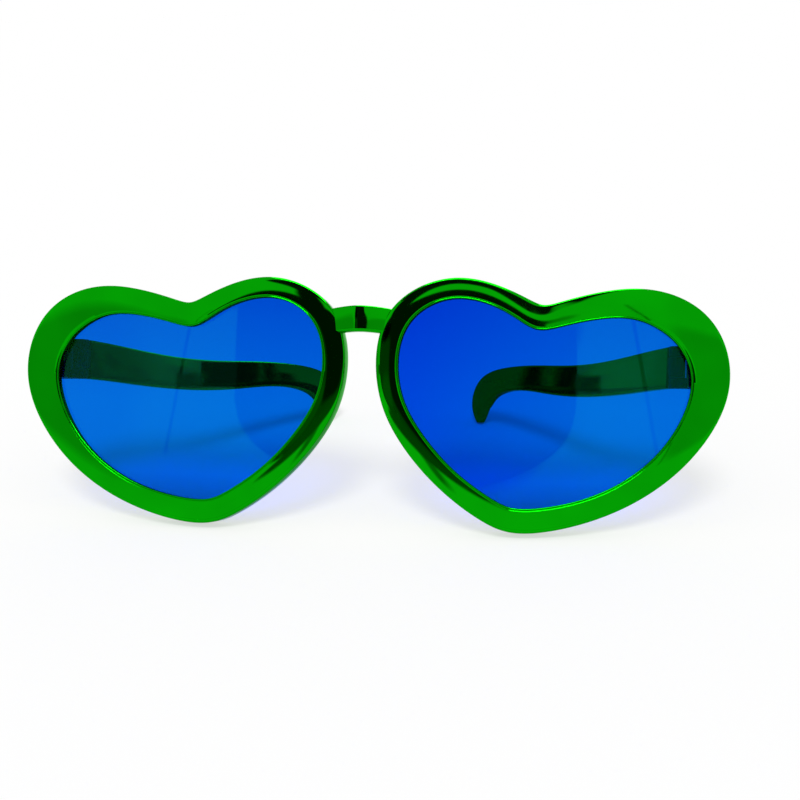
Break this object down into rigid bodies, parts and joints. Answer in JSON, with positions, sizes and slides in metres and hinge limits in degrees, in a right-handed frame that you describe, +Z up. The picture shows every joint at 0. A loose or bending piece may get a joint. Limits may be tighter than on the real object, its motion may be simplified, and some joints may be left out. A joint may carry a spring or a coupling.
{
  "type": "heart shaped sunglasses",
  "caption": "Jumbo heart shaped party sunglasses: a moulded metallised front with a bridge, tinted sheet lenses, and folding temples with ear hooks on screw hinges.",
  "frame": {"origin": "middle of the whole pair on the surface that it stands on, under the bounding box", "axes": "+X to the wearer's left across the front, +Y from the front back to the ear hooks, +Z up; the front leans back as it stands on its heart tips and ear hooks. Left and right in the names are as seen from the front, so right is +X."},
  "size_m": [0.28, 0.1402, 0.0931],
  "materials": {
    "front_plastic": "metallised green, mirror smooth",
    "temple_plastic": "metallised green, mirror smooth",
    "lens_sheet": "clear blue tinted sheet, polished",
    "screw_steel": "turned, plain"
  },
  "bodies": {
    "front": {"front_frame": "front_plastic", "lens_left": "lens_sheet", "lens_right": "lens_sheet", "hinge_screw_left": "screw_steel", "hinge_screw_right": "screw_steel"},
    "temple_left": {"temple_left": "temple_plastic"},
    "temple_right": {"temple_right": "temple_plastic"}
  },
  "joints": [
    {"name": "temple_right_fold", "type": "hinge", "parent": "front", "child": "temple_right", "pos_m": [0.12101, -0.02962, 0.0568], "axis": [0, 0.3651, 0.931], "range_deg": [-38.7, 45]},
    {"name": "temple_left_fold", "type": "hinge", "parent": "front", "child": "temple_left", "pos_m": [-0.12101, -0.02962, 0.0568], "axis": [0, -0.3651, -0.931], "range_deg": [-38.7, 49]}
  ]
}
